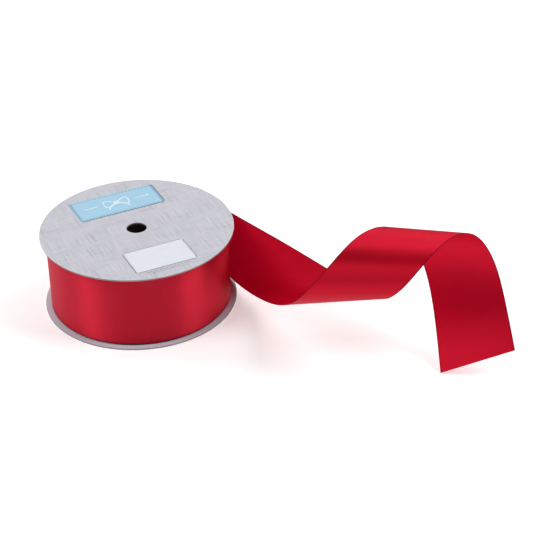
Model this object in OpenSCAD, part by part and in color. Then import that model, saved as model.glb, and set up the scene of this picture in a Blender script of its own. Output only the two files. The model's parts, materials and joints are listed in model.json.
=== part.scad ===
// Ribbon spool: a flanged cardboard reel wound with satin ribbon, its free end curling off the roll.
// +Z runs up the spindle hole, z = 0 is the surface that the spool stands on, and the free end lies
// towards +X.

/* [Flanges] */
// Diameter of both flanges
flange_d = 96; // [70:1:160]
// How far the flanges stand out past the outermost turn
flange_lip = 2.8; // [1:0.1:10]
// Thickness of each greyboard disc
board_t = 0.8; // [0.5:0.1:3]
// Thickness of the paper glued to each side of a board
paper_t = 0.1; // [0.05:0.01:0.3]
// Diameter of the spindle hole through both flanges
spindle_hole_d = 10; // [6:0.5:20]

/* [Core] */
// Outside diameter of the core tube
core_d = 50; // [34:1:60]
// Wall of the core's inner board ply
core_board_t = 1.0; // [0.5:0.1:3]
// Wall of the core's outer paper ply
core_wrap_t = 0.3; // [0.1:0.1:1]
// Leg of the glue fillet between the core and each flange
glue_leg = 1.5; // [0.5:0.1:4]

/* [Ribbon] */
// Width of the ribbon
ribbon_w = 38; // [25:1:60]
// Thickness of the ribbon
ribbon_t = 0.2; // [0.1:0.05:0.5]
// Clearance between the ribbon's edges and each flange
edge_gap = 0.25; // [0.1:0.05:1]
// Clearance between the outermost turn and the roll under it
turn_gap = 0.3; // [0.2:0.05:1]
// Angle left open between the outermost turn's start and the free end
turn_opening = 12; // [4:1:40]

/* [Starter tape] */
// Thickness of the tape that holds the first end of the ribbon to the core
tape_t = 0.1; // [0.05:0.01:0.2]
// Width of the tape, along the core
tape_w = 19; // [10:1:25]
// Length of the tape, round the core
tape_length = 25; // [10:1:60]

/* [Free end] */
// Angle, round the reel from +X, at which the free end leaves the roll
leave_angle = 49; // [20:1:80]

/* [Labels] */
// Angle of both labels and of the print, from +X
label_turn = 24.5; // [0:0.5:90]
// Thickness of the labels
label_t = 0.08; // [0.05:0.01:0.3]
// Corner radius of the labels
label_corner = 0.8; // [0.2:0.1:3]
// Length of the upper, blue label
patch_l = 45; // [20:0.5:50]
// Height of the upper, blue label
patch_h = 19.5; // [8:0.5:20]
// Flange left between its rim and the middle of the upper label's outer side
patch_margin = 11.25; // [6:0.25:14]
// Length of the lower, white label
price_l = 31.5; // [15:0.5:40]
// Height of the lower, white label
price_h = 19.5; // [8:0.5:20]
// Flange left between its rim and the middle of the lower label's outer side
price_margin = 8.25; // [6:0.25:14]

/* [Hidden] */
$fn = 180;

// Heights
flange_t = board_t + 2 * paper_t;
ribbon_z = flange_t + edge_gap;
core_h = ribbon_w + 2 * edge_gap;
upper_z = flange_t + core_h;
reel_h = upper_z + flange_t;

// Radii, from the core outwards
core_r = core_d / 2;
core_bore_r = core_r - core_wrap_t - core_board_t;
roll_in_r = core_r + tape_t;
turn_out_r = flange_d / 2 - flange_lip;
turn_mid_r = turn_out_r - ribbon_t / 2;
roll_out_r = turn_out_r - ribbon_t - turn_gap;

// How far cutting shapes run past the faces that they cut
cut_over = 1;

// The free end. Each row is one fold line, straight across the ribbon, as [lower end, upper end]; the
// ribbon curves only from one fold line to the next. X and Y are from where the ribbon leaves the
// roll, and Z is from the table. The rows are drawn for a ribbon drawn_w wide whose lower edge leaves
// the roll drawn_z above the table.
drawn_w = 38;
drawn_z = 1.25;
first_step = 4.5;
fold_rows = [
    [[6, -6, 1.25], [18, -20.5, 38.5]],
    [[10.5, -11.5, 1.25], [40.5, -46, 38.5]],
    [[17.5, -25.5, 1], [62.5, -72.5, 38]],
    [[28, -48, 6.5], [79, -93.5, 38]],
    [[37.5, -75.5, 19], [87.5, -107, 41]],
    [[45.5, -99.5, 35], [91, -115.5, 48]],
    [[53, -110.5, 50.5], [96.5, -121.5, 57.5]],
    [[63.5, -107.5, 62], [104.5, -119, 67]],
    [[75, -95, 69], [114.5, -108.5, 72.5]],
    [[88, -81, 67], [125, -98, 72]],
    [[100, -73, 57], [133.5, -91.5, 64.5]],
    [[108.5, -73, 42.5], [141, -91.5, 50.5]],
    [[113, -84, 23.5], [145, -100, 34]],
    [[114.5, -109, 0.5], [148, -116.5, 17.5]]];
steps_per_row = 8;

// Where the ribbon leaves the roll, and which way it heads there
leave_point = turn_mid_r * [cos(leave_angle), sin(leave_angle), 0];
leave_way = [sin(leave_angle), -cos(leave_angle), 0];

// A height drawn for drawn_z, lifted with the roll at the start and not at all at the far end
function lifted(z, i) = z + (ribbon_z - drawn_z) * (1 - i / len(fold_rows));

// The lower edge's control points: two on the tangent to the roll, then the rows
lower_points = concat(
    [for (i = [0, 1]) leave_point + i * first_step * leave_way + [0, 0, ribbon_z]],
    [for (i = [1 : len(fold_rows)])
        let (low = fold_rows[i - 1][0])
        leave_point + [low[0], low[1], lifted(low[2], i)]]);

// The upper edge's, a ribbon's width up each fold line
upper_points = [for (i = [0 : len(fold_rows) + 1])
    i < 2 ? lower_points[i] + [0, 0, ribbon_w]
          : lower_points[i] + (fold_rows[i - 2][1] - fold_rows[i - 2][0]) * ribbon_w / drawn_w];

// The four control points round step j of a row of points, with a mirrored one past each end
function around(points, i) =
    let (last = len(points) - 1)
    [i == 0 ? 2 * points[0] - points[1] : points[i - 1], points[i], points[i + 1],
        i + 2 > last ? 2 * points[last] - points[last - 1] : points[i + 2]];

// A smooth cubic B-spline through a row of control points, and its slope; t is 0 to 1 in span i
function on_spline(points, i, t) =
    let (p = around(points, i))
    (p[0] * pow(1 - t, 3) + p[1] * (3 * pow(t, 3) - 6 * t * t + 4)
        + p[2] * (3 * t + 3 * t * t - 3 * pow(t, 3) + 1) + p[3] * pow(t, 3)) / 6;
function spline_slope(points, i, t) =
    let (p = around(points, i))
    (-p[0] * pow(1 - t, 2) + p[1] * (3 * t * t - 4 * t) + p[2] * (1 + 2 * t - 3 * t * t)
        + p[3] * t * t) / 2;
function unit(v) = v / norm(v);

// The four corners of the ribbon's section on the fold line at step k
spans = len(lower_points) - 1;
strip_steps = spans * steps_per_row;
function section(k) =
    let (i = min(floor(k / steps_per_row), spans - 1), t = k / steps_per_row - i,
        low = on_spline(lower_points, i, t), high = on_spline(upper_points, i, t),
        along = unit(spline_slope(lower_points, i, t)) + unit(spline_slope(upper_points, i, t)),
        half_wall = unit(cross(along, high - low)) * ribbon_t / 2)
    [low - half_wall, high - half_wall, high + half_wall, low + half_wall];

// A flat ring from radius a to radius b, standing on z
module ring(a, b, z, h) {
    translate([0, 0, z]) difference() {
        cylinder(r = b, h = h);
        translate([0, 0, -cut_over]) cylinder(r = a, h = h + 2 * cut_over);
    }
}

// One disc of a flange, with its spindle hole
module disc(z, h) {
    ring(spindle_hole_d / 2, flange_d / 2, z, h);
}

// A glue fillet in the corner between the core's bore and a flange; up is 1 or -1
module glue_ring(z, up) {
    rotate_extrude() polygon([[core_bore_r, z], [core_bore_r - glue_leg, z],
        [core_bore_r, z + up * glue_leg]]);
}

// A label with round corners, lying on the upper flange; side is 1 for the upper label, -1 for the lower
module label(l, h, margin, side) {
    out = side * (flange_d / 2 - margin - h / 2);
    translate([0, 0, reel_h]) rotate([0, 0, label_turn]) translate([0, out]) linear_extrude(label_t) {
        square([l, h - 2 * label_corner], center = true);
        square([l - 2 * label_corner, h], center = true);
        for (x = [-1, 1], y = [-1, 1])
            translate([x * (l / 2 - label_corner), y * (h / 2 - label_corner)])
                circle(r = label_corner, $fn = 32);
    }
}

module lower_facing() {
    color("gainsboro") disc(0, paper_t);
}

module lower_board() {
    color("tan") disc(paper_t, board_t);
}

module lower_lining() {
    color("thistle") disc(paper_t + board_t, paper_t);
}

module core_board_ply() {
    color("burlywood") ring(core_bore_r, core_r - core_wrap_t, flange_t, core_h);
}

module core_paper_ply() {
    color("wheat") ring(core_r - core_wrap_t, core_r, flange_t, core_h);
}

module lower_glue_ring() {
    color("ivory") glue_ring(flange_t, 1);
}

module upper_glue_ring() {
    color("ivory") glue_ring(upper_z, -1);
}

module starter_tape() {
    color("white") translate([0, 0, ribbon_z + (ribbon_w - tape_w) / 2])
        rotate_extrude(angle = tape_length / core_r * 180 / PI)
            translate([core_r, 0]) square([tape_t, tape_w]);
}

module ribbon_roll() {
    color("crimson") ring(roll_in_r, roll_out_r, ribbon_z, ribbon_w);
}

// The outermost turn ends where the free end leaves the roll
module outer_turn() {
    color("crimson") rotate([0, 0, leave_angle]) translate([0, 0, ribbon_z])
        rotate_extrude(angle = 360 - turn_opening)
            translate([turn_out_r - ribbon_t, 0]) square([ribbon_t, ribbon_w]);
}

// A strip of four-cornered sections. Both broad sides are split along the same diagonals, so the
// ribbon keeps its thickness where it twists.
module ribbon_tail() {
    corners = 4;
    last = strip_steps * corners;
    step_faces = [[0, 4, 5], [0, 5, 1], [1, 5, 6], [1, 6, 2], [2, 6, 3], [6, 7, 3], [3, 7, 4], [3, 4, 0]];
    color("red") polyhedron(
        points = [for (k = [0 : strip_steps]) each section(k)],
        faces = [
            [0, 1, 2, 3],
            [last + 3, last + 2, last + 1, last],
            for (k = [0 : strip_steps - 1], face = step_faces) face + corners * k * [1, 1, 1]]);
}

module upper_lining() {
    color("thistle") disc(upper_z, paper_t);
}

module upper_board() {
    color("tan") disc(upper_z + paper_t, board_t);
}

module upper_facing() {
    color("gainsboro") disc(upper_z + paper_t + board_t, paper_t);
}

module name_patch() {
    color("lightblue") label(patch_l, patch_h, patch_margin, 1);
}

module price_label() {
    color("white") label(price_l, price_h, price_margin, -1);
}

lower_facing();
lower_board();
lower_lining();
core_board_ply();
core_paper_ply();
lower_glue_ring();
upper_glue_ring();
starter_tape();
ribbon_roll();
outer_turn();
ribbon_tail();
upper_lining();
upper_board();
upper_facing();
name_patch();
price_label();
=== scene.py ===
"""A cardboard spool of wide satin ribbon, with the ribbon's free end curling off the roll.

Lengths are metres. +Z runs up the spindle hole, and z = 0 is the surface that the spool stands on.
Every new piece is a surface over a grid, worked out with numpy.
"""

import json
import math

import bpy
import numpy as np
from bpy.props import FloatProperty, FloatVectorProperty, IntProperty, PointerProperty
from mathutils import Matrix, Vector


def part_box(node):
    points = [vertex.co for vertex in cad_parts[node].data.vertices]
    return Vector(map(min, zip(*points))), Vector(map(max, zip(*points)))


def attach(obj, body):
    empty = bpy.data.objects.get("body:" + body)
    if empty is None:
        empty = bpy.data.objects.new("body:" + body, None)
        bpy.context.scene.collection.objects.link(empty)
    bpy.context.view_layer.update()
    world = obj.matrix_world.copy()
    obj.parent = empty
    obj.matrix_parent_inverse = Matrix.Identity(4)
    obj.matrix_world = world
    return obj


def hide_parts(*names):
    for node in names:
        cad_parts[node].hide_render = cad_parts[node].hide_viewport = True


bl_info = {
    "name": "Ribbon Spool",
    "version": (1, 0, 0),
    "blender": (4, 5, 0),
    "location": "View3D > Sidebar > Ribbon Spool",
    "description": "Makes a cardboard spool of satin ribbon with its free end curling off the roll",
    "category": "Add Mesh",
}

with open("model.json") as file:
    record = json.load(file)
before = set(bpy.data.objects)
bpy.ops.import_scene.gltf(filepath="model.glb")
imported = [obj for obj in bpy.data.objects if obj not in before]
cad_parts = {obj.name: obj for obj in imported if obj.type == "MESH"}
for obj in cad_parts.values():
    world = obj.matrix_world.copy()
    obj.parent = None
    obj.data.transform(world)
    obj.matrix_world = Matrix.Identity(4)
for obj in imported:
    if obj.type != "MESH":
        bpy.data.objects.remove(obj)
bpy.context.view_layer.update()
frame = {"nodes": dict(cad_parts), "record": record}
MM = 0.001
TURN = 2 * math.pi

# The places that the frame gives
FLANGE_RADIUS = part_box("upper_board")[1].x
ROLL_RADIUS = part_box("ribbon_roll")[1].x
CORE_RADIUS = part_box("core_paper_ply")[1].x
TAPE_THICKNESS = 0.1 * MM
TURN_RADIUS = -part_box("outer_turn")[0].x
RIBBON_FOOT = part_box("ribbon_roll")[0].z
RIBBON_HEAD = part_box("ribbon_roll")[1].z
HOLE_RADIUS = next(m for m in frame["record"]["mounts"] if m["name"] == "spindle_hole")["dims"]["r_mm"] * MM

# The free end's fold lines, from where it leaves the roll: each is a straight line across the ribbon,
# as its lower end and its upper end in millimetres. X and Y are from the leaving point, Z from the table.
# These numbers weren't chosen by hand: they are a fitting script's output, rounded to half a millimetre.
FOLD_LINES = MM * np.array([
    [[6, -6, 1.25], [18, -20.5, 38.5]],
    [[10.5, -11.5, 1.25], [40.5, -46, 38.5]],
    [[17.5, -25.5, 1], [62.5, -72.5, 38]],
    [[28, -48, 6.5], [79, -93.5, 38]],
    [[37.5, -75.5, 19], [87.5, -107, 41]],
    [[45.5, -99.5, 35], [91, -115.5, 48]],
    [[53, -110.5, 50.5], [96.5, -121.5, 57.5]],
    [[63.5, -107.5, 62], [104.5, -119, 67]],
    [[75, -95, 69], [114.5, -108.5, 72.5]],
    [[88, -81, 67], [125, -98, 72]],
    [[100, -73, 57], [133.5, -91.5, 64.5]],
    [[108.5, -73, 42.5], [141, -91.5, 50.5]],
    [[113, -84, 23.5], [145, -100, 34]],
    [[114.5, -109, 0.5], [148, -116.5, 17.5]],
])


class FlangeSettings(bpy.types.PropertyGroup):
    """Sizes and colours of the flanges and the core"""

    press: FloatProperty(
        name="Pressed edge", description="Radius that the punch presses into the printed side's edge",
        default=0.28 * MM, min=0.0, unit="LENGTH")
    lining_press: FloatProperty(
        name="Lining edge", description="Radius of the edge on the lining's side",
        default=0.1 * MM, min=0.0, unit="LENGTH")
    around: IntProperty(
        name="Steps round", description="Steps round each disc", default=300, min=48)
    print_colour: FloatVectorProperty(
        name="Print", description="Pale grey of the linen print", subtype="COLOR",
        default=(0.56, 0.565, 0.61), min=0.0, max=1.0)
    thread_colour: FloatVectorProperty(
        name="Threads", description="Darker grey of the printed threads", subtype="COLOR",
        default=(0.34, 0.345, 0.40), min=0.0, max=1.0)
    lining_colour: FloatVectorProperty(
        name="Lining", description="Mauve grey of the lining paper", subtype="COLOR",
        default=(0.66, 0.63, 0.70), min=0.0, max=1.0)
    board_colour: FloatVectorProperty(
        name="Board", description="Off-white of the board's cut edge", subtype="COLOR",
        default=(0.31, 0.265, 0.25), min=0.0, max=1.0)
    # Partly the board's own brown, partly painted shade: darkened so that the spindle hole looks black.
    core_colour_with_hole_shade: FloatVectorProperty(
        name="Core", description="Brown of the core's board", subtype="COLOR",
        default=(0.11, 0.085, 0.065), min=0.0, max=1.0)


class RibbonSettings(bpy.types.PropertyGroup):
    """Sizes and colours of the ribbon"""

    leave_angle: FloatProperty(
        name="Leaving angle", description="Angle round the reel at which the free end leaves the roll",
        default=math.radians(49), subtype="ANGLE")
    thickness: FloatProperty(
        name="Thickness", description="Thickness at the woven edges", default=0.2 * MM, unit="LENGTH")
    body: FloatProperty(
        name="Body", description="Thickness between the woven edges, as a share of theirs",
        default=0.8, min=0.1, max=1.0, subtype="FACTOR")
    lap: FloatProperty(
        name="Lap", description="Angle that the outermost turn laps under its own end",
        default=math.radians(24), subtype="ANGLE")
    turns: IntProperty(name="Turns", description="Turns wound on the core", default=98, min=4)
    wander: FloatProperty(
        name="Wander", description="How far the wound edges wander up and down",
        default=0.06 * MM, unit="LENGTH")
    ride: FloatProperty(
        name="Ride", description="How far the wound ribbon rides up from the lower flange",
        default=0.16 * MM, unit="LENGTH")
    through: FloatProperty(
        name="Light through", description="Share of the light that goes through a single layer of ribbon",
        default=0.42, min=0.0, max=1.0, subtype="FACTOR")
    satin_colour: FloatVectorProperty(
        name="Satin", description="Red of the satin", subtype="COLOR",
        default=(0.60, 0.004, 0.027), min=0.0, max=1.0)
    edge_colour: FloatVectorProperty(
        name="Woven edge", description="Darker red of the woven edges", subtype="COLOR",
        default=(0.13, 0.002, 0.008), min=0.0, max=1.0)


class LabelSettings(bpy.types.PropertyGroup):
    """Sizes and colours of the labels"""

    turn: FloatProperty(
        name="Turn", description="Angle of the labels and the print from +X",
        default=math.radians(24.5), subtype="ANGLE")
    patch_size: FloatVectorProperty(
        name="Patch", description="Length and height of the blue label", size=2,
        default=(45 * MM, 19.5 * MM), unit="LENGTH")
    price_size: FloatVectorProperty(
        name="Price label", description="Length and height of the white label", size=2,
        default=(31.5 * MM, 19.5 * MM), unit="LENGTH")
    corner: FloatProperty(
        name="Corner", description="Corner radius of the labels", default=0.8 * MM, unit="LENGTH")
    blue_colour: FloatVectorProperty(
        name="Blue", description="Sky blue of the upper label", subtype="COLOR",
        default=(0.33, 0.585, 0.76), min=0.0, max=1.0)
    white_colour: FloatVectorProperty(
        name="White", description="White of the lower label", subtype="COLOR",
        default=(0.72, 0.745, 0.80), min=0.0, max=1.0)


class StageSettings(bpy.types.PropertyGroup):
    """Camera, floor and light"""

    camera_place: FloatVectorProperty(
        name="Camera", description="Where the camera stands", size=3, unit="LENGTH",
        default=(0.06846, -0.80654, 0.52201))
    camera_tilt: FloatProperty(
        name="Tilt", description="Angle that the camera looks down",
        default=math.radians(32.451), subtype="ANGLE")
    camera_roll: FloatProperty(
        name="Roll", description="Angle that the camera is turned about its own axis",
        default=math.radians(-1.705), subtype="ANGLE")
    camera_lens: FloatProperty(
        name="Lens", description="Focal length of the camera in millimetres", default=123.78)
    floor_colour: FloatVectorProperty(
        name="Floor", description="Pale floor", subtype="COLOR",
        default=(0.96, 0.96, 0.96), min=0.0, max=1.0)
    floor_glow: FloatProperty(
        name="Floor glow", description="Light that the floor gives off itself", default=0.3)
    sky: FloatProperty(name="Sky", description="Strength of the even light", default=0.1)


# ---- meshes


def piece(name, points, face_sets, uv_sets=None, sharp=math.radians(40)):
    """A mesh object from points and sets of faces, each set an array with one row of vertex numbers a face.

    uv_sets holds one array for each set, with a (u, v) for each corner of each face.
    """
    mesh = bpy.data.meshes.new(name)
    mesh.vertices.add(len(points))
    mesh.vertices.foreach_set("co", points.astype(np.float32).ravel())
    sizes = np.concatenate([np.full(len(faces), faces.shape[1]) for faces in face_sets])
    mesh.loops.add(int(sizes.sum()))
    mesh.loops.foreach_set("vertex_index", np.concatenate([f.ravel() for f in face_sets]).astype(np.int32))
    mesh.polygons.add(len(sizes))
    mesh.polygons.foreach_set("loop_start", (np.cumsum(sizes) - sizes).astype(np.int32))
    mesh.update(calc_edges=True)
    if uv_sets is not None:
        layer = mesh.uv_layers.new(name="UVMap")
        layer.uv.foreach_set("vector", np.concatenate([u.ravel() for u in uv_sets]).astype(np.float32))
    mesh.polygons.foreach_set("use_smooth", np.ones(len(sizes), bool))
    mesh.set_sharp_from_angle(angle=sharp)
    thing = bpy.data.objects.new(name, mesh)
    bpy.context.scene.collection.objects.link(thing)
    return thing


def squares(grid, round_rows=False, round_columns=False):
    """The four corners of every square of a grid of anything, joined up along a way that is round."""
    if round_rows:
        grid = np.concatenate([grid, grid[:1]])
    if round_columns:
        grid = np.concatenate([grid, grid[:, :1]], axis=1)
    corners = np.stack([grid[:-1, :-1], grid[1:, :-1], grid[1:, 1:], grid[:-1, 1:]], axis=2)
    return corners.reshape(-1, 4, *grid.shape[2:])


def numbered(rows, columns):
    """The vertex numbers of a grid."""
    return np.arange(rows * columns).reshape(rows, columns)


def turned(name, outline, around):
    """A ring turned about +Z: each (r, z) of a closed outline goes round as (r cos a, r sin a, z)."""
    a = np.linspace(0, TURN, around, endpoint=False)[:, None]
    r, z = outline.T
    points = np.stack([r * np.cos(a), r * np.sin(a), z + 0 * a], axis=2)
    faces = squares(numbered(around, len(outline)), True, True)
    return piece(name, points.reshape(-1, 3), [faces])


def pressed(z, r, low, high, top_press, bottom_press):
    """How a punch rounds a disc's edges: a point near the rim or the hole sinks by R - sqrt(R^2 - d^2).

    R is the press radius and d is how far the point is past the press's start. A point sinks by its
    share of the height from the other side, so every layer bends together.
    """
    def sink(press):
        past = np.maximum(r - (FLANGE_RADIUS - press), HOLE_RADIUS + press - r).clip(0, press)
        return press - np.sqrt(press ** 2 - past ** 2)

    share = (z - low) / (high - low)
    return z - sink(top_press) * share + sink(bottom_press) * (1 - share)


def disc_outline(low, high, stack_low, stack_high, top_press, bottom_press):
    """The closed outline of one layer of a flange: out along its underside and back along its top."""
    fine = np.sin(np.linspace(0, math.pi / 2, 7)) * max(top_press, bottom_press)
    start = max(top_press, bottom_press)
    r = np.concatenate([
        HOLE_RADIUS + start - fine[::-1],
        np.linspace(HOLE_RADIUS + start, FLANGE_RADIUS - start, 8)[1:-1],
        FLANGE_RADIUS - start + fine,
    ])
    under = pressed(np.full_like(r, low), r, stack_low, stack_high, top_press, bottom_press)
    over = pressed(np.full_like(r, high), r, stack_low, stack_high, top_press, bottom_press)
    return np.concatenate([np.stack([r, under], 1), np.stack([r, over], 1)[::-1]])


def spline(points, steps):
    """A smooth cubic B-spline through rows of control points, with one mirrored past each end.

    On each span it is (p0 (1-t)^3 + p1 (3t^3 - 6t^2 + 4) + p2 (3t + 3t^2 - 3t^3 + 1) + p3 t^3) / 6.
    """
    rows = np.concatenate([2 * points[:1] - points[1:2], points, 2 * points[-1:] - points[-2:-1]])
    p0, p1, p2, p3 = (rows[k:len(rows) - 3 + k, None] for k in range(4))
    t = np.linspace(0, 1, steps, endpoint=False)[None, :, None]
    curve = (p0 * (1 - t) ** 3 + p1 * (3 * t ** 3 - 6 * t ** 2 + 4)
             + p2 * (3 * t + 3 * t ** 2 - 3 * t ** 3 + 1) + p3 * t ** 3) / 6
    return np.concatenate([curve.reshape(-1, 3), points[-1:]])


def unit(v):
    """Each row of v at length one."""
    return v / np.linalg.norm(v, axis=-1, keepdims=True)


def wound(angle, radius, foot, width):
    """Lower and upper edge of a ribbon wound at those angles and radii: (r cos a, r sin a, z)."""
    low = np.stack([radius * np.cos(angle), radius * np.sin(angle), foot + 0 * angle], axis=1)
    return low, low + [0, 0, width]


def strip(name, low, high, across, wall):
    """A woven strip between two edge curves, with a wall on each side of its middle surface.

    The middle surface is low + (high - low) s, for s the share of the way across, and half of the wall
    stands along its normal on each side. The outer face runs down the width and the inner face back
    up, so the section is closed, and each end is closed across. The UV map is metres along the ribbon
    and metres from its middle.
    """
    rows, columns = len(low), len(across)
    s = across / across[-1]
    middle = low[:, None] + (high - low)[:, None] * s[None, :, None]
    along = unit(np.gradient(middle, axis=0))
    normal = unit(np.cross(unit(high - low)[:, None], along))
    half = wall[None, :, None] / 2
    loop = np.concatenate([(middle + normal * half)[:, ::-1], middle - normal * half], axis=1)
    line = (low + high) / 2
    length = np.concatenate([[0], np.cumsum(np.linalg.norm(np.diff(line, axis=0), axis=1))])
    v = across - across[-1] / 2
    v_loop = np.concatenate([v[::-1], v, v[-1:]])
    uv = np.stack(np.broadcast_arrays(length[:, None], v_loop[None, :]), axis=2)
    numbers = numbered(rows, 2 * columns)
    ends, end_uv = [], []
    for row, order in ((0, 1), (-1, -1)):
        pairs = np.stack([numbers[row, :columns], numbers[row, :columns - 1:-1]], axis=1)
        where = np.stack([uv[row, :columns], uv[row, :columns]], axis=1)
        ends.append(squares(pairs)[:, ::order])
        end_uv.append(squares(where)[:, ::order])
    faces = squares(numbers, round_columns=True)
    return piece(name, loop.reshape(-1, 3), [faces, *ends], [squares(uv), *end_uv])


def ribbon_section(width, thickness, body):
    """Places across the ribbon and its thickness there: thin in the body, a bead at each woven edge.

    The bead is exp(-((d - 0.35) / 0.22)^2) for d millimetres from the edge, and the last tenth of a
    millimetre is rounded off.
    """
    near = np.array([0, 0.03, 0.08, 0.16, 0.26, 0.36, 0.48, 0.62, 0.8, 1.1, 1.7, 3, 5, 8, 12, 15.5]) * MM
    across = np.concatenate([near, [width / 2], (width - near)[::-1]])
    d = np.minimum(across, width - across) / MM
    bead = np.exp(-((d - 0.35) / 0.22) ** 2)
    edge = np.sqrt(1 - (1 - (d / 0.16).clip(0, 1)) ** 2).clip(0.12, 1)
    return across, thickness * (body + (1 - body) * bead) * edge


def lines(name, paths, width, height, place, closed=False):
    """Raised lines of ink or thread: a low half ellipse carried along each path.

    paths is an array of (x, y) paths of equally many points. The half ellipse is (cos b, sin b) for b
    from 0 to 180 degrees, width wide and height high. place turns (x, y, height) into points.
    """
    paths = np.asarray(paths, float)
    count, steps = paths.shape[:2]
    if closed:
        way = np.roll(paths, -1, 1) - np.roll(paths, 1, 1)
    else:
        way = np.gradient(paths, axis=1)
    side = unit(np.stack([-way[..., 1], way[..., 0]], axis=-1))
    arc_steps = 7
    b = np.linspace(0, math.pi, arc_steps)
    xy = paths[:, :, None] + side[:, :, None] * (np.cos(b) * width / 2)[None, None, :, None]
    z = np.broadcast_to(np.sin(b) * height, xy.shape[:3])
    points = place(xy[..., 0], xy[..., 1], z).reshape(-1, 3)
    one = numbered(steps, arc_steps)
    faces = squares(one, closed, True)[:, ::-1]
    starts = (np.arange(count) * steps * arc_steps)[:, None, None]
    sets = [(faces[None] + starts).reshape(-1, 4)]
    if not closed:
        for end in (one[0][::-1], one[-1]):
            sets.append(end[None] + starts[:, 0])
    return piece(name, points, sets)


def on_flange(centre, turn):
    """A way to place label coordinates on the upper flange: turned about the label's own centre."""
    def place(x, y, z):
        return np.stack([
            centre.x + x * math.cos(turn) - y * math.sin(turn),
            centre.y + x * math.sin(turn) + y * math.cos(turn),
            centre.z + z], axis=-1)
    return place


def label_sheet(name, size, corner, thickness, place):
    """A paper label: rows across its height, each as long as the rounded corners leave it.

    A row d past the start of a corner is shorter at each end by c - sqrt(c^2 - d^2).
    """
    length, height = size
    corner_steps, side_steps, columns = 7, 9, 25
    bend = np.linspace(0, math.pi / 2, corner_steps)
    top = height / 2 - corner + corner * np.sin(bend)
    y = np.concatenate([-top[::-1], np.linspace(-top[0], top[0], side_steps)[1:-1], top])
    d = (np.abs(y) - (height / 2 - corner)).clip(0, corner)
    half = length / 2 - (corner - np.sqrt(corner ** 2 - d ** 2))
    x = np.linspace(-1, 1, columns)[None, :] * half[:, None]
    ys = np.broadcast_to(y[:, None], x.shape)
    points = place(x, ys, np.zeros_like(x))
    uv = np.stack([x, ys], axis=2)
    faces = squares(numbered(*x.shape))[:, ::-1]
    sheet = piece(name, points.reshape(-1, 3), [faces], [squares(uv)[:, ::-1]])
    solid = sheet.modifiers.new("Thickness", "SOLIDIFY")
    solid.thickness = thickness
    solid.offset = 1
    return sheet


def label_sides(size, corner, steps=12):
    """The straight stretches of a label's outline: lower, upper, left and right."""
    length, height = size
    s = np.linspace(-1, 1, steps)
    level = [np.stack([s * (length / 2 - corner), 0 * s + way * height / 2], 1) for way in (-1, 1)]
    upright = [np.stack([0 * s + way * length / 2, s * (height / 2 - corner)], 1) for way in (-1, 1)]
    return level + upright


# ---- materials


def put(tree, kind, settings=None, **inputs):
    """A new node: settings are its own properties, and inputs are values or sockets by input name.

    An input named _0, _1 and so on is taken by its number.
    """
    new = tree.nodes.new("ShaderNode" + kind)
    for key, value in (settings or {}).items():
        setattr(new, key, value)
    for key, value in inputs.items():
        socket = new.inputs[int(key[1:])] if key[0] == "_" else new.inputs[key.replace("_", " ")]
        if isinstance(value, bpy.types.NodeSocket):
            tree.links.new(value, socket)
        else:
            socket.default_value = value
    return new


def maths(tree, operation, *values):
    """The value of a Math node."""
    inputs = {f"_{k}": value for k, value in enumerate(values)}
    return put(tree, "Math", {"operation": operation}, **inputs).outputs[0]


def spread(tree, value, low, high, out_low=0.0, out_high=1.0):
    """A value that runs smoothly from out_low to out_high as another runs from low to high."""
    settings = {"interpolation_type": "SMOOTHSTEP"}
    return put(tree, "MapRange", settings, Value=value, From_Min=low, From_Max=high,
               To_Min=out_low, To_Max=out_high).outputs[0]


def blend(tree, share, first, second):
    """Two colours mixed by a share."""
    return put(tree, "Mix", {"data_type": "RGBA"}, _0=share, _6=first, _7=second).outputs[2]


def noise(tree, vector, stretch, detail=2.0, rough=0.5, shift=(0, 0, 0)):
    """Noise on a vector stretched by so many features a metre along each axis."""
    mapping = put(tree, "Mapping", Vector=vector, Scale=stretch, Location=shift)
    return put(tree, "TexNoise", Vector=mapping.outputs[0], Scale=1.0, Detail=detail,
               Roughness=rough).outputs["Fac"]


def group(name, inputs, outputs):
    """A new node group with named inputs and outputs, and its two end nodes."""
    tree = bpy.data.node_groups.new(name, "ShaderNodeTree")
    for way, sockets in (("INPUT", inputs), ("OUTPUT", outputs)):
        for label, kind, default in sockets:
            socket = tree.interface.new_socket(name=label, in_out=way, socket_type="NodeSocket" + kind)
            if default is not None:
                socket.default_value = default
    return tree, tree.nodes.new("NodeGroupInput"), tree.nodes.new("NodeGroupOutput")


def give(tree, out, **results):
    """Links what a group works out to its output node."""
    for name, value in results.items():
        tree.links.new(value, out.inputs[name])


def crossed_threads():
    """Node group: threads that run both ways, each a long thin streak, with thin and thick places."""
    tree, given, out = group(
        "Crossed threads",
        [("Vector", "Vector", None), ("Threads", "Float", 1.0), ("Patches", "Float", 0.5)],
        [("Dark", "Float", None), ("Light", "Float", None), ("Height", "Float", None)])
    vector = put(tree, "VectorMath", {"operation": "SCALE"}, _0=given.outputs["Vector"],
                 Scale=given.outputs["Threads"]).outputs[0]
    level = noise(tree, vector, (60, 3300, 1), 3.0, 0.6)
    upright = noise(tree, vector, (3300, 60, 1), 3.0, 0.6, (5.2, 1.3, 0))
    patches = noise(tree, vector, (75, 110, 1), 2.0, 0.5, (2.1, 7.7, 0))
    amount = maths(tree, "MULTIPLY", spread(tree, patches, 0.3, 0.7), given.outputs["Patches"])
    share = maths(tree, "ADD", amount, maths(tree, "SUBTRACT", 1.0, given.outputs["Patches"]))
    dark = maths(tree, "MAXIMUM", spread(tree, level, 0.5, 0.72), spread(tree, upright, 0.48, 0.70))
    light = maths(tree, "MAXIMUM", spread(tree, level, 0.45, 0.28), spread(tree, upright, 0.45, 0.28))
    give(tree, out, Dark=maths(tree, "MULTIPLY", dark, share), Light=light,
         Height=maths(tree, "ADD", level, upright))
    return tree


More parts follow.
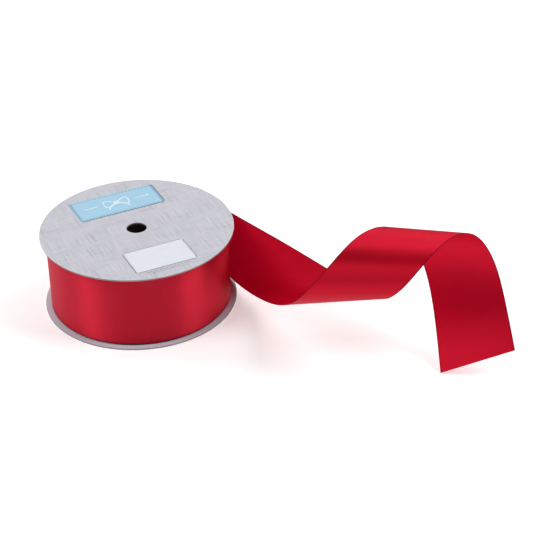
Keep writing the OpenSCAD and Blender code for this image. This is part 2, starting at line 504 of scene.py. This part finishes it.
def paper_fibres():
    """Node group: fine fibres and clouds of paper or board."""
    tree, given, out = group(
        "Paper fibres",
        [("Vector", "Vector", None), ("Fineness", "Float", 1.0)],
        [("Fibres", "Float", None), ("Clouds", "Float", None), ("Height", "Float", None)])
    vector = put(tree, "VectorMath", {"operation": "SCALE"}, _0=given.outputs["Vector"],
                 Scale=given.outputs["Fineness"]).outputs[0]
    long_way = noise(tree, vector, (500, 3200, 3200), 4.0, 0.65)
    cross_way = noise(tree, vector, (3000, 620, 3000), 4.0, 0.65, (3.0, 9.0, 4.0))
    clouds = noise(tree, vector, (110, 110, 110), 3.0, 0.55, (8.0, 2.0, 6.0))
    both = maths(tree, "MULTIPLY", maths(tree, "ADD", long_way, cross_way), 0.5)
    give(tree, out, Fibres=both, Clouds=clouds, Height=both)
    return tree


def rim_band():
    """Node group: a broken band along the rim of a disc and round its hole.

    The printed facing paints it paler, partly as rubbed print and partly as a painted highlight on the
    pressed edge. The lining paints it darker, as painted shade.
    """
    tree, given, out = group(
        "Rim band",
        [("Vector", "Vector", None), ("Rim", "Float", 0.048), ("Hole", "Float", 0.005),
         ("Width", "Float", 0.0005)],
        [("Wear", "Float", None)])
    flat = put(tree, "VectorMath", {"operation": "MULTIPLY"}, _0=given.outputs["Vector"], _1=(1, 1, 0))
    r = put(tree, "VectorMath", {"operation": "LENGTH"}, _0=flat.outputs[0]).outputs["Value"]
    from_rim = maths(tree, "SUBTRACT", given.outputs["Rim"], r)
    from_hole = maths(tree, "SUBTRACT", r, given.outputs["Hole"])
    near = maths(tree, "DIVIDE", maths(tree, "MINIMUM", from_rim, from_hole), given.outputs["Width"])
    uneven = noise(tree, given.outputs["Vector"], (900, 900, 900), 3.0, 0.6)
    reach = maths(tree, "MULTIPLY_ADD", uneven, 1.6, 0.1)
    give(tree, out, Wear=spread(tree, maths(tree, "SUBTRACT", reach, near), -0.1, 0.5))
    return tree


def satin_weave():
    """Node group: satin's long floats along the ribbon, weft lines across it and ribbed woven edges.

    It reads the ribbon's UV map, in metres along and metres from the middle.
    """
    tree, given, out = group(
        "Satin weave",
        [("UV", "Vector", None), ("Half width", "Float", 0.019)],
        [("Shade", "Float", None), ("Edge", "Float", None), ("Height", "Float", None)])
    uv = given.outputs["UV"]
    floats = noise(tree, uv, (260, 5200, 1), 3.0, 0.6)
    weft = noise(tree, uv, (1500, 26, 1), 3.0, 0.6, (4.0, 2.0, 0))
    broad = noise(tree, uv, (150, 60, 1), 2.0, 0.5, (1.0, 6.0, 0))
    parts = put(tree, "SeparateXYZ", Vector=uv)
    off_middle = maths(tree, "ABSOLUTE", parts.outputs[1])
    from_edge = maths(tree, "SUBTRACT", given.outputs["Half width"], off_middle)
    edge = spread(tree, from_edge, 0.00062, 0.0003)
    loops = maths(tree, "SINE", maths(tree, "MULTIPLY", parts.outputs[0], TURN / (0.42 * MM)))
    ribs = maths(tree, "MULTIPLY", maths(tree, "MULTIPLY_ADD", loops, 0.5, 0.5), edge)
    shade = maths(tree, "ADD", maths(tree, "MULTIPLY", floats, 0.45), maths(tree, "MULTIPLY", weft, 0.35))
    shade = maths(tree, "ADD", shade, maths(tree, "MULTIPLY", broad, 0.2))
    height = maths(tree, "ADD", maths(tree, "MULTIPLY", floats, 0.35), maths(tree, "MULTIPLY", weft, 0.4))
    height = maths(tree, "ADD", height, maths(tree, "MULTIPLY", broad, 5.0))
    height = maths(tree, "MULTIPLY_ADD", ribs, 0.8, height)
    give(tree, out, Shade=shade, Edge=edge, Height=height)
    return tree


def shared(name):
    """A shader node group by name, built the first time that it is asked for."""
    makers = {
        "Crossed threads": crossed_threads, "Paper fibres": paper_fibres,
        "Rim band": rim_band, "Satin weave": satin_weave,
    }
    return bpy.data.node_groups.get(name) or makers[name]()


def use(tree, name, **inputs):
    """A shared group placed in a material with its own values."""
    return put(tree, "Group", {"node_tree": shared(name)}, **inputs).outputs


def finish_with(name, fill, **constants):
    """A material with a Principled shader set to constants, which fill(tree, shader) finishes.

    It is made once.
    """
    if name in bpy.data.materials:
        return bpy.data.materials[name]
    material = bpy.data.materials.new(name)
    material.use_nodes = True
    tree = material.node_tree
    tree.nodes.clear()
    shader = put(tree, "BsdfPrincipled", **constants)
    put(tree, "OutputMaterial", Surface=shader.outputs[0])
    fill(tree, shader)
    return material


def wire(tree, shader, colour=None, rough=None, height=None, bump=0.1, distance=0.0001):
    """Links a colour, a roughness and a bump's height to a shader."""
    if colour is not None:
        tree.links.new(colour, shader.inputs["Base Color"])
    if rough is not None:
        tree.links.new(rough, shader.inputs["Roughness"])
    if height is not None:
        relief = put(tree, "Bump", Strength=bump, Distance=distance, Height=height)
        tree.links.new(relief.outputs[0], shader.inputs["Normal"])


def full(colour, factor=1.0):
    """A colour setting as four numbers, brightened or darkened."""
    return (*(min(1.0, c * factor) for c in colour), 1.0)


def own_place(tree):
    """The place on the piece, in metres."""
    return put(tree, "TexCoord").outputs["Object"]


def mottled(tree, value, base, dark, light):
    """A colour that runs from a darker to a lighter factor of itself with a noise value."""
    return blend(tree, spread(tree, value, 0.3, 0.7), full(base, dark), full(base, light))


def linen_print(settings, turn):
    """Paper printed with the look of pale grey linen, its threads along the labels."""
    def fill(tree, shader):
        place = own_place(tree)
        lined_up = put(tree, "Mapping", Vector=place, Rotation=(0, 0, -turn)).outputs[0]
        threads = use(tree, "Crossed threads", Vector=lined_up, Threads=1.0, Patches=0.55)
        fibres = use(tree, "Paper fibres", Vector=lined_up, Fineness=1.3)
        edge_band = use(tree, "Rim band", Vector=place, Rim=FLANGE_RADIUS, Hole=HOLE_RADIUS, Width=0.35 * MM)
        pale, dark = full(settings.print_colour), full(settings.thread_colour)
        lilac = (pale[0] * 1.04, pale[1] * 0.985, pale[2] * 1.03, 1)
        ground = blend(tree, spread(tree, fibres["Clouds"], 0.35, 0.65), pale, lilac)
        colour = blend(tree, threads["Dark"], ground, dark)
        bright = full(settings.print_colour, 1.22)
        colour = blend(tree, maths(tree, "MULTIPLY", threads["Light"], 0.8), colour, bright)
        # Paler band at the rim and round the hole: partly rubbed print, partly a painted highlight on the
        # pressed edge.
        rubbed_and_lit = full(settings.print_colour, 1.3)
        colour = blend(tree, maths(tree, "MULTIPLY", edge_band["Wear"], 0.75), colour, rubbed_and_lit)
        rough = spread(tree, fibres["Fibres"], 0.3, 0.7, 0.46, 0.62)
        height = maths(tree, "ADD", threads["Height"], maths(tree, "MULTIPLY", fibres["Height"], 0.6))
        wire(tree, shader, colour, rough, height, 0.25, 0.03 * MM)
    return finish_with("linen_print", fill, Specular_IOR_Level=0.4)


def lining_paper(settings):
    """Plain mauve-grey paper with fibres, and a darker band of painted shade along its rim and round its
    hole.
    """
    def fill(tree, shader):
        place = own_place(tree)
        fibres = use(tree, "Paper fibres", Vector=place, Fineness=1.0)
        edge_band = use(tree, "Rim band", Vector=place, Rim=FLANGE_RADIUS, Hole=HOLE_RADIUS, Width=0.3 * MM)
        base = settings.lining_colour
        colour = mottled(tree, fibres["Fibres"], base, 0.88, 1.08)
        colour = blend(tree, spread(tree, fibres["Clouds"], 0.35, 0.7, 0.0, 0.3), colour, full(base, 0.9))
        # Painted shade: the lining is darker in a band along the rim and round the hole.
        colour = blend(tree, maths(tree, "MULTIPLY", edge_band["Wear"], 0.6), colour, full(base, 0.55))
        wire(tree, shader, colour, spread(tree, fibres["Fibres"], 0.3, 0.7, 0.6, 0.8),
             fibres["Height"], 0.3, 0.03 * MM)
    return finish_with("lining_paper", fill, Specular_IOR_Level=0.3)


def cut_board(name, base, layers):
    """Board with fibres and, on its cut edge, so many pressed layers a metre."""
    def fill(tree, shader):
        place = own_place(tree)
        fibres = use(tree, "Paper fibres", Vector=place, Fineness=1.6)
        ply = noise(tree, place, (90, 90, layers), 3.0, 0.6, (1.0, 4.0, 2.0))
        colour = mottled(tree, fibres["Fibres"], base, 0.86, 1.06)
        colour = blend(tree, spread(tree, ply, 0.45, 0.7, 0.0, 0.55), colour, full(base, 0.7))
        height = maths(tree, "ADD", ply, maths(tree, "MULTIPLY", fibres["Height"], 0.8))
        wire(tree, shader, colour, spread(tree, fibres["Fibres"], 0.3, 0.7, 0.75, 0.92),
             height, 0.6, 0.06 * MM)
    return finish_with(name, fill, Specular_IOR_Level=0.2)


def core_paper(settings):
    """The core's wound paper, with the dark line of its spiral joint."""
    def fill(tree, shader):
        place = own_place(tree)
        fibres = use(tree, "Paper fibres", Vector=place, Fineness=1.0)
        parts = put(tree, "SeparateXYZ", Vector=place)
        angle = maths(tree, "ARCTAN2", parts.outputs[1], parts.outputs[0])
        climb = maths(tree, "MULTIPLY_ADD", angle, 60 * MM / TURN, parts.outputs[2])
        seam = maths(tree, "PINGPONG", climb, 30 * MM)
        line = spread(tree, seam, 0.25 * MM, 0.05 * MM)
        # The core's brown carries painted shade, so that the spindle hole looks black.
        base = settings.core_colour_with_hole_shade
        colour = mottled(tree, fibres["Fibres"], base, 0.9, 1.3)
        colour = blend(tree, line, colour, full(base, 0.4))
        height = maths(tree, "SUBTRACT", fibres["Height"], line)
        wire(tree, shader, colour, None, height, 0.5, 0.05 * MM)
    return finish_with("core_paper", fill, Roughness=0.8)


def dried_glue():
    """Cloudy cream glue with small bubbles."""
    def fill(tree, shader):
        place = own_place(tree)
        bubbles = put(tree, "TexVoronoi", Vector=place, Scale=1400.0).outputs["Distance"]
        clouds = noise(tree, place, (400, 400, 400), 3.0)
        colour = blend(tree, clouds, (0.66, 0.58, 0.40, 1), (0.78, 0.72, 0.56, 1))
        wire(tree, shader, colour, spread(tree, clouds, 0.3, 0.7, 0.28, 0.45), bubbles, 0.5, 0.1 * MM)
    return finish_with("dried_glue", fill, Coat_Weight=0.3)


def clear_tape():
    """Milky adhesive tape with faint stretch lines along it."""
    def fill(tree, shader):
        place = own_place(tree)
        lines_along = noise(tree, place, (60, 60, 2600), 2.0)
        colour = blend(tree, lines_along, (0.70, 0.68, 0.60, 1), (0.80, 0.79, 0.74, 1))
        wire(tree, shader, colour, spread(tree, lines_along, 0.3, 0.7, 0.18, 0.3), lines_along,
             0.2, 0.03 * MM)
    return finish_with("clear_tape", fill)


def satin(settings, name="red_satin", gloss=0.7, bright=1.0, through=0.0):
    """Double-faced red satin: smooth along its floats and rougher across them, with woven edges.

    Gloss is the share of light that the floats reflect like a mirror. Where through is more than zero,
    that share of the rest goes through the cloth. Bright scales the red, and above one it is painted
    light that makes a lighter, lit copy of the same satin.
    """
    def fill(tree, shader):
        half_width = (RIBBON_HEAD - RIBBON_FOOT) / 2
        uv = put(tree, "UVMap", {"uv_map": "UVMap"}).outputs[0]
        weave = use(tree, "Satin weave", UV=uv, Half_width=half_width)
        base = settings.satin_colour
        shade = spread(tree, weave["Shade"], 0.32, 0.68)
        # bright scales the red; above one it is painted light.
        colour = blend(tree, shade, full(base, 0.88 * bright), full(base, 1.1 * bright))
        colour = blend(tree, weave["Edge"], colour, full(settings.edge_colour))
        rough = spread(tree, weave["Shade"], 0.32, 0.68, 0.44, 0.56)
        rough = maths(tree, "MAXIMUM", rough, maths(tree, "MULTIPLY", weave["Edge"], 0.9))
        wire(tree, shader, colour, rough, weave["Height"], 0.28, 0.03 * MM)
        tangent = put(tree, "Tangent", {"direction_type": "UV_MAP", "uv_map": "UVMap"})
        tree.links.new(tangent.outputs[0], shader.inputs["Tangent"])
        if through:
            glow = put(tree, "BsdfTranslucent", Color=(0.95, 0.05, 0.2, 1))
            mix = put(tree, "MixShader", Fac=through, _1=shader.outputs[0], _2=glow.outputs[0])
            output = next(n for n in tree.nodes if n.type == "OUTPUT_MATERIAL")
            tree.links.new(mix.outputs[0], output.inputs["Surface"])
    return finish_with(
        name, fill, Metallic=gloss, Specular_IOR_Level=1.0, Specular_Tint=(1.0, 0.7, 0.75, 1),
        Anisotropic=0.95, Anisotropic_Rotation=0.25,
        Sheen_Weight=0.04, Sheen_Roughness=0.35, Sheen_Tint=(1.0, 0.3, 0.35, 1))


def label_paper(name, base, fineness, coat):
    """Coated label paper with a fine tooth."""
    def fill(tree, shader):
        place = own_place(tree)
        fibres = use(tree, "Paper fibres", Vector=place, Fineness=fineness)
        colour = mottled(tree, fibres["Fibres"], base, 0.93, 1.05)
        colour = blend(tree, spread(tree, fibres["Clouds"], 0.3, 0.7, 0.0, 0.35), colour, full(base, 0.93))
        wire(tree, shader, colour, spread(tree, fibres["Fibres"], 0.3, 0.7, 0.38, 0.52),
             fibres["Height"], 0.2, 0.02 * MM)
    return finish_with(name, fill, Coat_Weight=coat, Coat_Roughness=0.3)


def ink(name, base, variation=0.15):
    """A printed or raised line, thinner in places."""
    def fill(tree, shader):
        place = own_place(tree)
        thin = noise(tree, place, (2600, 2600, 2600), 3.0)
        colour = mottled(tree, thin, base, 1 - variation, 1 + variation)
        wire(tree, shader, colour, spread(tree, thin, 0.3, 0.7, 0.35, 0.55), thin, 0.2, 0.02 * MM)
    return finish_with(name, fill)


def dress(thing, material):
    """Gives a piece its material."""
    thing.data.materials.clear()
    thing.data.materials.append(material)


# ---- operators


class SPOOL_OT_flanges(bpy.types.Operator):
    """Makes both flanges: a board disc with a printed facing outside and a plain lining inside"""

    bl_idname = "ribbon_spool.flanges"
    bl_label = "Flanges"

    def execute(self, context):
        settings = context.scene.spool_flanges
        finishes = {
            "facing": (linen_print(settings, context.scene.spool_labels.turn), "printed_paper"),
            "board": (cut_board("board_edge", settings.board_colour, 7000), "greyboard"),
            "lining": (lining_paper(settings), "plain_paper"),
        }
        for side in ("lower", "upper"):
            stack_low = min(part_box(f"{side}_{layer}")[0].z for layer in finishes)
            stack_high = max(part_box(f"{side}_{layer}")[1].z for layer in finishes)
            press = (settings.press, settings.lining_press)
            top_press, bottom_press = press if side == "upper" else press[::-1]
            for layer, (material, slot) in finishes.items():
                node = f"{side}_{layer}"
                low, high = (corner.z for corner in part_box(node))
                outline = disc_outline(low, high, stack_low, stack_high, top_press, bottom_press)
                disc = turned(f"{node}_disc", outline, settings.around)
                dress(disc, material)
                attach(disc, "reel")
                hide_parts(node)
        return {"FINISHED"}


class SPOOL_OT_core(bpy.types.Operator):
    """Finishes the core tube's two plies, the glue beads and the starter tape"""

    bl_idname = "ribbon_spool.core"
    bl_label = "Core"

    def execute(self, context):
        settings = context.scene.spool_flanges
        nodes = frame["nodes"]
        # The core board's colour carries painted shade, so that the spindle hole looks black.
        dress(nodes["core_board_ply"], cut_board("core_board", settings.core_colour_with_hole_shade, 1500))
        dress(nodes["core_paper_ply"], core_paper(settings))
        dress(nodes["lower_glue_ring"], dried_glue())
        dress(nodes["upper_glue_ring"], dried_glue())
        dress(nodes["starter_tape"], clear_tape())
        return {"FINISHED"}


class SPOOL_OT_roll(bpy.types.Operator):
    """Winds the roll: one long strip of satin, turn on turn, from the core outwards"""

    bl_idname = "ribbon_spool.roll"
    bl_label = "Roll"

    def execute(self, context):
        settings = context.scene.spool_ribbon
        steps_per_turn = 84
        share = np.linspace(0, 1, settings.turns * steps_per_turn + 1)
        wall = settings.thickness * settings.body
        first = CORE_RADIUS + TAPE_THICKNESS + wall
        last = ROLL_RADIUS - wall / 2
        end_angle = settings.leave_angle + settings.lap
        angle = end_angle + TURN * settings.turns * (1 - share)
        radius = first + (last - first) * share
        wander = settings.wander * (0.6 * np.sin(angle * 0.37) + 0.4 * np.sin(angle * 1.13 + 1.0))
        width = RIBBON_HEAD - RIBBON_FOOT
        low, high = wound(angle, radius, RIBBON_FOOT + settings.ride + wander, width)
        across = np.array([0, width])
        roll = strip("wound_ribbon", low, high, across, np.full(2, wall))
        dress(roll, satin(settings))
        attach(roll, "reel")
        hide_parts("ribbon_roll")
        return {"FINISHED"}


class SPOOL_OT_free_end(bpy.types.Operator):
    """Makes the outermost turn and the free end as one strip that curls off the roll"""

    bl_idname = "ribbon_spool.free_end"
    bl_label = "Free end"

    def execute(self, context):
        settings = context.scene.spool_ribbon
        width = RIBBON_HEAD - RIBBON_FOOT
        turn_steps, span_steps = 420, 18
        clearance = 0.03 * MM
        outer = TURN_RADIUS - settings.thickness / 2
        inner = ROLL_RADIUS + clearance + settings.thickness / 2
        share = np.linspace(0, 1, turn_steps, endpoint=False)
        sweep = TURN + settings.lap
        angle = settings.leave_angle + sweep * (1 - share)
        foot = RIBBON_FOOT + settings.ride * np.sin(math.pi * share) ** 2
        turn_low, turn_high = wound(angle, inner + (outer - inner) * share, foot, width)

        a = settings.leave_angle
        leave = np.array([outer * math.cos(a), outer * math.sin(a), 0])
        way = np.array([math.sin(a), -math.cos(a), 0])
        first_step = 4.5 * MM
        tangent = leave + np.outer([0, first_step], way) + [0, 0, RIBBON_FOOT]
        low = np.concatenate([tangent, leave + FOLD_LINES[:, 0]])
        high = np.concatenate([tangent + [0, 0, width], leave + FOLD_LINES[:, 1]])
        low = np.concatenate([turn_low, spline(low, span_steps)])
        high = np.concatenate([turn_high, spline(high, span_steps)])

        across, wall = ribbon_section(width, settings.thickness, settings.body)
        ribbon = strip("satin_ribbon", low, high, across, wall)
        dress(ribbon, satin(settings))
        # The free end's satin lets light through, and its red is also painted 1.15 times lighter than the
        # roll's.
        ribbon.data.materials.append(satin(settings, "red_satin_single_painted_lighter", 0.78, 1.15, settings.through))
        rows = np.arange(len(low) - 1)
        end_faces = len(across) - 1
        single = np.repeat(rows >= len(turn_low), 2 * len(across))
        single = np.concatenate([single, np.zeros(end_faces, bool), np.ones(end_faces, bool)])
        ribbon.data.polygons.foreach_set("material_index", single.astype(np.int32))
        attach(ribbon, "free_ribbon")
        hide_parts("outer_turn", "ribbon_tail")
        return {"FINISHED"}


class SPOOL_OT_labels(bpy.types.Operator):
    """Makes the blue label with its stitches and bow, the white label and the fine print's plain rules"""

    bl_idname = "ribbon_spool.labels"
    bl_label = "Labels"

    def execute(self, context):
        settings = context.scene.spool_labels
        self.make_patch(settings)
        self.make_price_label(settings)
        return {"FINISHED"}

    def label(self, node, size, material, slot, settings):
        """The paper of one label, and the way to place what is printed on it."""
        low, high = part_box(node)
        middle = (low + high) / 2
        thickness = high.z - low.z
        place = on_flange(Vector((middle.x, middle.y, low.z)), settings.turn)
        sheet = label_sheet(f"{node}_paper", size, settings.corner, thickness, place)
        dress(sheet, material)
        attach(sheet, "reel")
        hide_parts(node)
        return on_flange(Vector((middle.x, middle.y, high.z)), settings.turn)

    def printed(self, name, paths, width, height, place, material, slot, closed=False):
        """A set of raised or printed lines on the upper flange."""
        made = lines(name, paths, width, height, place, closed)
        dress(made, material)
        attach(made, "reel")

    def make_patch(self, settings):
        length, height = settings.patch_size
        paper = label_paper("blue_label_paper", settings.blue_colour, 1.4, 0.15)
        place = self.label("name_patch", settings.patch_size, paper, "blue_label", settings)

        inset, stitch, gap = 1.0 * MM, 1.15 * MM, 0.7 * MM
        stitches = []
        for along, side in ((length, height), (height, length)):
            run = along - 2 * inset
            count = round((run + gap) / (stitch + gap))
            starts = -run / 2 + np.arange(count) * (run - stitch) / (count - 1)
            ends = np.stack([starts, starts + stitch], axis=1)
            offset = side / 2 - inset
            for sign in (-1, 1):
                path = np.stack([ends, np.full_like(ends, sign * offset)], axis=2)
                stitches.append(path if along == length else path[:, :, ::-1])
        thread = ink("stitch_thread", (0.09, 0.20, 0.30))
        self.printed("patch_stitches", np.concatenate(stitches), 0.3 * MM, 0.05 * MM, place,
                     thread, "blue_label")

        t = np.linspace(0, TURN, 96, endpoint=False)
        loops = np.stack([6.6 * np.cos(t), 3.6 * np.sin(2 * t) * (0.62 + 0.38 * np.abs(np.cos(t)))], 1)
        knot = np.stack([1.15 * np.cos(t), 1.45 * np.sin(t)], 1)
        white = ink("raised_white", (0.80, 0.88, 0.93), 0.05)
        lift = np.array([0, 0.6])
        self.printed("patch_bow", MM * (np.stack([loops, knot]) + lift), 0.62 * MM, 0.14 * MM, place,
                     white, "blue_label", closed=True)
        s = np.linspace(0, 1, 24)
        curve = np.sin(math.pi * s)
        tail = np.stack([0.9 + 4.6 * s + 0.5 * curve, -1.0 - 4.6 * s + 0.9 * curve], 1)
        tails = np.stack([tail, tail * [-1, 1]])
        rule = np.stack([np.linspace(9.5, 17.5, 24), 0 * s], 1)
        rules = np.stack([rule, rule * [-1, 1]])
        self.printed("patch_bow_tails", MM * (np.concatenate([tails, rules]) + lift), 0.62 * MM, 0.14 * MM,
                     place, white, "blue_label")

        shade = ink("print_shadow", (0.07, 0.09, 0.12))
        sides = label_sides(settings.patch_size, settings.corner)
        self.printed("patch_shadow_line", [sides[0], sides[3]], 0.42 * MM, 0.05 * MM, place,
                     shade, "blue_label")

    def make_price_label(self, settings):
        paper = label_paper("white_label_paper", settings.white_colour, 1.2, 0.1)
        place = self.label("price_label", settings.price_size, paper, "white_label", settings)
        sides = label_sides(settings.price_size, settings.corner)
        grey = ink("outline_grey", (0.13, 0.14, 0.17))
        self.printed("price_label_outline", sides, 0.3 * MM, 0.03 * MM, place, grey, "white_label")

        rng = np.random.default_rng(5)
        middle = place(*np.zeros(3))
        paper_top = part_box("upper_facing")[1].z
        print_place = on_flange(Vector((middle[0], middle[1], paper_top)), settings.turn)
        first_row, row_gap = -11.4, 1.3
        dashes = []
        for row, reach in ((0, 11.5), (1, 8.5)):
            x = -reach
            while x < reach:
                dash = rng.uniform(0.5, 1.6)
                along = np.linspace(x, min(x + dash, reach), 3)
                path = np.stack([along, 0 * along + first_row - row_gap * row], 1)
                dashes.append(path * MM)
                x += dash + rng.uniform(0.3, 0.5)
        faint = ink("fine_print_grey", (0.13, 0.13, 0.16))
        self.printed("fine_print_rules", dashes, 0.34 * MM, 0.015 * MM, print_place, faint, "printed_paper")


class SPOOL_OT_stage(bpy.types.Operator):
    """Sets the pale floor, the soft lights and the camera"""

    bl_idname = "ribbon_spool.stage"
    bl_label = "Stage"

    def execute(self, context):
        settings = context.scene.spool_stage
        self.make_floor(settings)
        self.make_lights()
        self.make_sky(context.scene, settings)
        self.make_camera(context.scene, settings)
        context.scene.view_settings.view_transform = "Standard"
        return {"FINISHED"}

    def make_floor(self, settings):
        reach, drop = 4.0, 0.02 * MM
        glow_from, glow_to = 0.8, 2.4
        side = np.array([-reach, reach])
        points = np.stack([*np.meshgrid(side, side, indexing="ij"), np.full((2, 2), -drop)], 2)
        floor = piece("floor", points.reshape(-1, 3), [squares(numbered(2, 2))])

        def fill(tree, shader):
            place = own_place(tree)
            tooth = noise(tree, place, (700, 700, 700), 3.0)
            base = settings.floor_colour
            colour = blend(tree, tooth, full(base, 0.99), full(base))
            wire(tree, shader, colour)
            flat = put(tree, "VectorMath", {"operation": "LENGTH"}, _0=place).outputs["Value"]
            clear = spread(tree, flat, FLANGE_RADIUS * 0.9, FLANGE_RADIUS, 0.0, settings.floor_glow)
            far = spread(tree, flat, glow_from, glow_to)
            glow = blend(tree, maths(tree, "MAXIMUM", clear, far), (0, 0, 0, 1), (1, 1, 1, 1))
            tree.links.new(glow, shader.inputs["Emission Color"])
        material = finish_with(
            "pale_floor", fill, Roughness=0.9, Specular_IOR_Level=0.1, Emission_Strength=1.0)
        floor.data.materials.append(material)

    def make_lights(self):
        """Soft boxes: angle round the spool from +X, height angle, distance, width, height, power."""
        boxes = {
            "left_box": (-160, 44, 1.2, 0.5, 0.9, 6.2),
            "right_box": (-13, 43, 1.2, 0.4, 0.9, 6.7),
            "back_box": (92, 40, 1.3, 1.2, 0.6, 4.8),
            "back_left_box": (152, 38, 1.2, 0.5, 0.6, 2.2),
            "back_right_box": (40, 40, 1.2, 0.6, 0.6, 3.1),
        }
        aim = Vector((0.04, -0.02, 0.02))
        for name, (round_by, up_by, distance, width, height, power) in boxes.items():
            around, up = math.radians(round_by), math.radians(up_by)
            way = Vector((math.cos(around) * math.cos(up), math.sin(around) * math.cos(up), math.sin(up)))
            data = bpy.data.lights.new(name, "AREA")
            data.shape = "RECTANGLE"
            data.size = width
            data.size_y = height
            data.energy = power
            light = bpy.data.objects.new(name, data)
            light.rotation_mode = "QUATERNION"
            light.location = aim + way * distance
            light.rotation_quaternion = (-way).to_track_quat("-Z", "Y")
            bpy.context.scene.collection.objects.link(light)

    def make_sky(self, scene, settings):
        world = bpy.data.worlds.new("even_light")
        world.use_nodes = True
        tree = world.node_tree
        tree.nodes.clear()
        light = put(tree, "Background", Color=(1, 1, 1, 1), Strength=settings.sky)
        backdrop = put(tree, "Background", Color=(1, 1, 1, 1), Strength=1.0)
        seen = put(tree, "LightPath").outputs["Is Camera Ray"]
        mix = put(tree, "MixShader", Fac=seen, _1=light.outputs[0], _2=backdrop.outputs[0])
        put(tree, "OutputWorld", Surface=mix.outputs[0])
        scene.world = world

    def make_camera(self, scene, settings):
        data = bpy.data.cameras.new("camera")
        data.sensor_width = 36.0
        data.lens = settings.camera_lens
        camera = bpy.data.objects.new("camera", data)
        tilt = Matrix.Rotation(math.pi / 2 - settings.camera_tilt, 4, "X")
        roll = Matrix.Rotation(settings.camera_roll, 4, "Z")
        camera.matrix_world = Matrix.Translation(settings.camera_place) @ tilt @ roll
        scene.collection.objects.link(camera)
        scene.camera = camera


class SPOOL_PT_panel(bpy.types.Panel):
    """Lists the spool's pieces in the order that they are made"""

    bl_label = "Ribbon Spool"
    bl_idname = "SPOOL_PT_panel"
    bl_space_type = "VIEW_3D"
    bl_region_type = "UI"
    bl_category = "Ribbon Spool"

    def draw(self, context):
        for operator in OPERATORS:
            self.layout.operator(operator.bl_idname)


OPERATORS = (
    SPOOL_OT_stage, SPOOL_OT_flanges, SPOOL_OT_core, SPOOL_OT_roll, SPOOL_OT_free_end, SPOOL_OT_labels)
SETTINGS = {
    "spool_flanges": FlangeSettings, "spool_ribbon": RibbonSettings,
    "spool_labels": LabelSettings, "spool_stage": StageSettings,
}


def register():
    for kind in (*SETTINGS.values(), *OPERATORS, SPOOL_PT_panel):
        bpy.utils.register_class(kind)
    for name, kind in SETTINGS.items():
        setattr(bpy.types.Scene, name, PointerProperty(type=kind))


def unregister():
    for name in SETTINGS:
        delattr(bpy.types.Scene, name)
    for kind in (SPOOL_PT_panel, *reversed(OPERATORS), *SETTINGS.values()):
        bpy.utils.unregister_class(kind)


def main():
    """Makes every piece in order."""
    register()
    bpy.ops.ribbon_spool.stage()
    bpy.ops.ribbon_spool.flanges()
    bpy.ops.ribbon_spool.core()
    bpy.ops.ribbon_spool.roll()
    bpy.ops.ribbon_spool.free_end()
    bpy.ops.ribbon_spool.labels()


if __name__ == "__main__":
    main()
